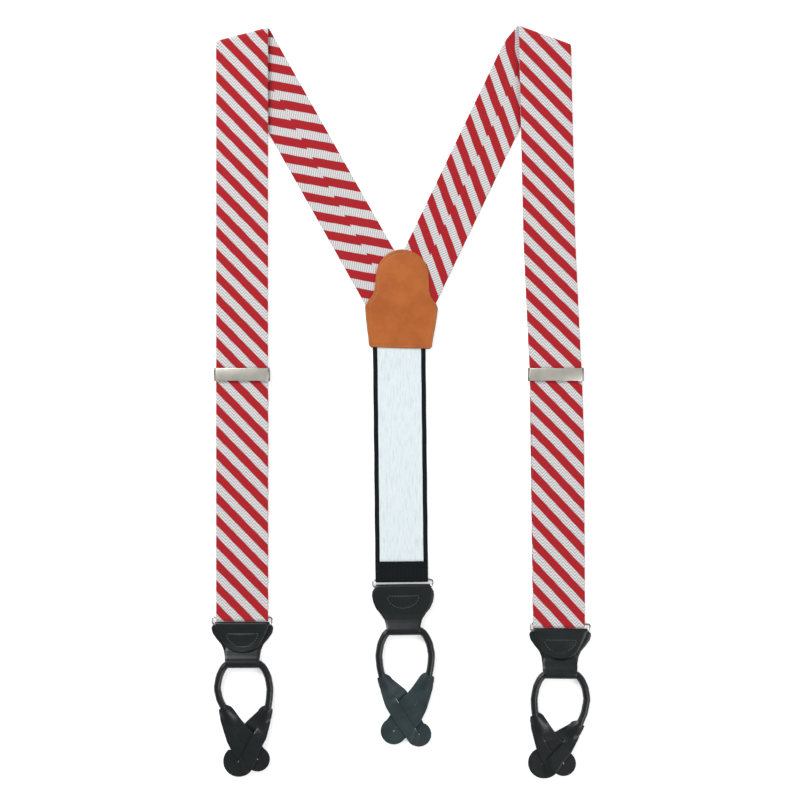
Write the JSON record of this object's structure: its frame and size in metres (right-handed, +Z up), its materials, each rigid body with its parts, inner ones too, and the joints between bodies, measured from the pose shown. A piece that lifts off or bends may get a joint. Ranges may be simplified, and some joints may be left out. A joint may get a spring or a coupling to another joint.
{
  "type": "button-on braces (suspenders)",
  "caption": "Y-back button-on braces with striped straps, sliding adjusters, an elastic back strap and black leather loops with buttonhole tabs, lying flat.",
  "frame": {"origin": "middle of the braces laid flat, on the table under them", "axes": "+Y from the button ends up to the shoulders, +X to the viewer's right looking down at the braces, +Z up off the table"},
  "size_m": [0.2555, 0.5075, 0.0069],
  "materials": {
    "striped_ribbon": "woven red and white stripes",
    "striped_reverse": "reverse of the woven ribbon, duller",
    "elastic": "ribbed white elastic with black edges",
    "elastic_black": "black edge weave of the elastic",
    "black_leather": "smooth black leather, semi-gloss",
    "tan_leather": "tan lining leather, matte",
    "thread_white": "sewing thread",
    "thread_tan": "tonal sewing thread",
    "thread_dark": "black sewing thread",
    "nickel": "satin nickel plate",
    "ring_steel": "bright plated wire"
  },
  "bodies": {
    "back_panel": {"patch_outer": "black_leather", "patch_lining": "tan_leather", "patch_stitching": "thread_tan", "left_back_strap": "striped_reverse", "right_back_strap": "striped_reverse", "elastic_strap": "elastic", "left_shoulder_fold": "striped_ribbon", "right_shoulder_fold": "striped_ribbon"},
    "left_front": {"left_front_strap": "striped_ribbon"},
    "left_ring_carrier": {"left_strap_loop": "striped_ribbon"},
    "left_adjuster": {"left_adjuster_frame": "nickel", "left_adjuster_pins": "ring_steel", "left_tail_stitching": "thread_white", "left_strap_tail": "striped_reverse"},
    "left_lever": {"left_adjuster_lever": "nickel"},
    "left_ring": {"left_ring": "ring_steel"},
    "left_yoke": {"left_yoke": "black_leather", "left_yoke_stitching": "thread_dark"},
    "left_loop": {"left_cord_loop": "black_leather"},
    "left_outer_tab": {"left_outer_tab": "black_leather"},
    "left_inner_tab": {"left_inner_tab": "black_leather"},
    "right_front": {"right_front_strap": "striped_ribbon"},
    "right_ring_carrier": {"right_strap_loop": "striped_ribbon"},
    "right_adjuster": {"right_adjuster_frame": "nickel", "right_adjuster_pins": "ring_steel", "right_tail_stitching": "thread_white", "right_strap_tail": "striped_reverse"},
    "right_lever": {"right_adjuster_lever": "nickel"},
    "right_ring": {"right_ring": "ring_steel"},
    "right_yoke": {"right_yoke": "black_leather", "right_yoke_stitching": "thread_dark"},
    "right_loop": {"right_cord_loop": "black_leather"},
    "right_inner_tab": {"right_inner_tab": "black_leather"},
    "right_outer_tab": {"right_outer_tab": "black_leather"},
    "elastic_end": {"elastic_end": "elastic_black", "elastic_stitching": "thread_dark"},
    "back_ring": {"back_ring": "ring_steel"},
    "back_yoke": {"back_yoke": "black_leather", "back_yoke_stitching": "thread_dark"},
    "back_loop": {"back_cord_loop": "black_leather"},
    "back_left_tab": {"back_left_tab": "black_leather"},
    "back_right_tab": {"back_right_tab": "black_leather"}
  },
  "joints": [
    {"name": "left_shoulder", "type": "hinge", "parent": "back_panel", "child": "left_front", "pos_m": [-0.107, 0.2457, 0.0024], "axis": [-0.9673, -0.2538, 0], "range_deg": [0, 170], "deforming": ["left_shoulder_fold"]},
    {"name": "left_strap_adjust", "type": "slide", "parent": "left_front", "child": "left_ring_carrier", "axis": [0, 1, 0], "range_m": [-0.09, 0.055], "deforming": ["left_front_strap"]},
    {"name": "left_adjuster_slide", "type": "slide", "parent": "left_ring_carrier", "child": "left_adjuster", "axis": [0, 1, 0], "range_m": [-0.09, 0.055], "deforming": ["left_strap_tail"]},
    {"name": "left_lever", "type": "hinge", "parent": "left_adjuster", "child": "left_lever", "pos_m": [-0.1075, 0.0225, 0.0051], "axis": [-1, 0, 0], "range_deg": [0, 95]},
    {"name": "left_ring_swing", "type": "hinge", "parent": "left_ring_carrier", "child": "left_ring", "pos_m": [-0.1075, -0.1443, 0.0019], "axis": [-1, 0, 0], "range_deg": [-60, 60]},
    {"name": "left_yoke_swing", "type": "hinge", "parent": "left_ring", "child": "left_yoke", "pos_m": [-0.1075, -0.1489, 0.0019], "axis": [-1, 0, 0], "range_deg": [-60, 60]},
    {"name": "left_loop_swing", "type": "hinge", "parent": "left_yoke", "child": "left_loop", "pos_m": [-0.1075, -0.1748, 0.00345], "axis": [-1, 0, 0], "range_deg": [-50, 50]},
    {"name": "left_outer_tab_flex", "type": "hinge", "parent": "left_loop", "child": "left_outer_tab", "pos_m": [-0.1195, -0.2055, 0.00345], "axis": [0, 0, 1], "range_deg": [-4, 4], "stiffness_Nm_per_rad": 0.002},
    {"name": "left_inner_tab_flex", "type": "hinge", "parent": "left_loop", "child": "left_inner_tab", "pos_m": [-0.0902, -0.2056, 0.00345], "axis": [0, 0, 1], "range_deg": [-4, 4], "stiffness_Nm_per_rad": 0.002},
    {"name": "right_shoulder", "type": "hinge", "parent": "back_panel", "child": "right_front", "pos_m": [0.0963, 0.2452, 0.0024], "axis": [-0.9406, 0.3396, 0], "range_deg": [0, 170], "deforming": ["right_shoulder_fold"]},
    {"name": "right_strap_adjust", "type": "slide", "parent": "right_front", "child": "right_ring_carrier", "axis": [-0.0314, 0.9995, 0], "range_m": [-0.09, 0.055], "deforming": ["right_front_strap"]},
    {"name": "right_adjuster_slide", "type": "slide", "parent": "right_ring_carrier", "child": "right_adjuster", "axis": [-0.0314, 0.9995, 0], "range_m": [-0.09, 0.055], "deforming": ["right_strap_tail"]},
    {"name": "right_lever", "type": "hinge", "parent": "right_adjuster", "child": "right_lever", "pos_m": [0.1034, 0.0225, 0.0051], "axis": [-1, 0, 0], "range_deg": [0, 95]},
    {"name": "right_ring_swing", "type": "hinge", "parent": "right_ring_carrier", "child": "right_ring", "pos_m": [0.10662, -0.1487, 0.0019], "axis": [-0.9999, 0.0105, 0], "range_deg": [-60, 60]},
    {"name": "right_yoke_swing", "type": "hinge", "parent": "right_ring", "child": "right_yoke", "pos_m": [0.10658, -0.1533, 0.0019], "axis": [-0.9999, 0.0105, 0], "range_deg": [-60, 60]},
    {"name": "right_loop_swing", "type": "hinge", "parent": "right_yoke", "child": "right_loop", "pos_m": [0.10627, -0.182, 0.00345], "axis": [-0.9999, 0.0105, 0], "range_deg": [-50, 50]},
    {"name": "right_inner_tab_flex", "type": "hinge", "parent": "right_loop", "child": "right_inner_tab", "pos_m": [0.08978, -0.21043, 0.00345], "axis": [0, 0, 1], "range_deg": [-4, 4], "stiffness_Nm_per_rad": 0.002},
    {"name": "right_outer_tab_flex", "type": "hinge", "parent": "right_loop", "child": "right_outer_tab", "pos_m": [0.11932, -0.21614, 0.00345], "axis": [0, 0, 1], "range_deg": [-4, 4], "stiffness_Nm_per_rad": 0.002},
    {"name": "elastic_stretch", "type": "slide", "parent": "back_panel", "child": "elastic_end", "axis": [0.0113, -0.9999, 0], "range_m": [0, 0.06], "stiffness_N_per_m": 150, "deforming": ["elastic_strap"]},
    {"name": "back_ring_swing", "type": "hinge", "parent": "elastic_end", "child": "back_ring", "pos_m": [0.00057, -0.11899, 0.0019], "axis": [-0.9999, -0.0113, 0], "range_deg": [-60, 60]},
    {"name": "back_yoke_swing", "type": "hinge", "parent": "back_ring", "child": "back_yoke", "pos_m": [0.00063, -0.12359, 0.0019], "axis": [-0.9999, -0.0113, 0], "range_deg": [-60, 60]},
    {"name": "back_loop_swing", "type": "hinge", "parent": "back_yoke", "child": "back_loop", "pos_m": [0.00096, -0.15269, 0.00345], "axis": [-0.9999, -0.0113, 0], "range_deg": [-50, 50]},
    {"name": "back_left_tab_flex", "type": "hinge", "parent": "back_loop", "child": "back_left_tab", "pos_m": [-0.01328, -0.18455, 0.00345], "axis": [0, 0, 1], "range_deg": [-4, 4], "stiffness_Nm_per_rad": 0.002},
    {"name": "back_right_tab_flex", "type": "hinge", "parent": "back_loop", "child": "back_right_tab", "pos_m": [0.01801, -0.1835, 0.00345], "axis": [0, 0, 1], "range_deg": [-4, 4], "stiffness_Nm_per_rad": 0.002}
  ],
  "couplings": [
    {"joint": "left_adjuster_slide", "follows": "left_strap_adjust", "ratio": 1},
    {"joint": "right_adjuster_slide", "follows": "right_strap_adjust", "ratio": 1}
  ]
}
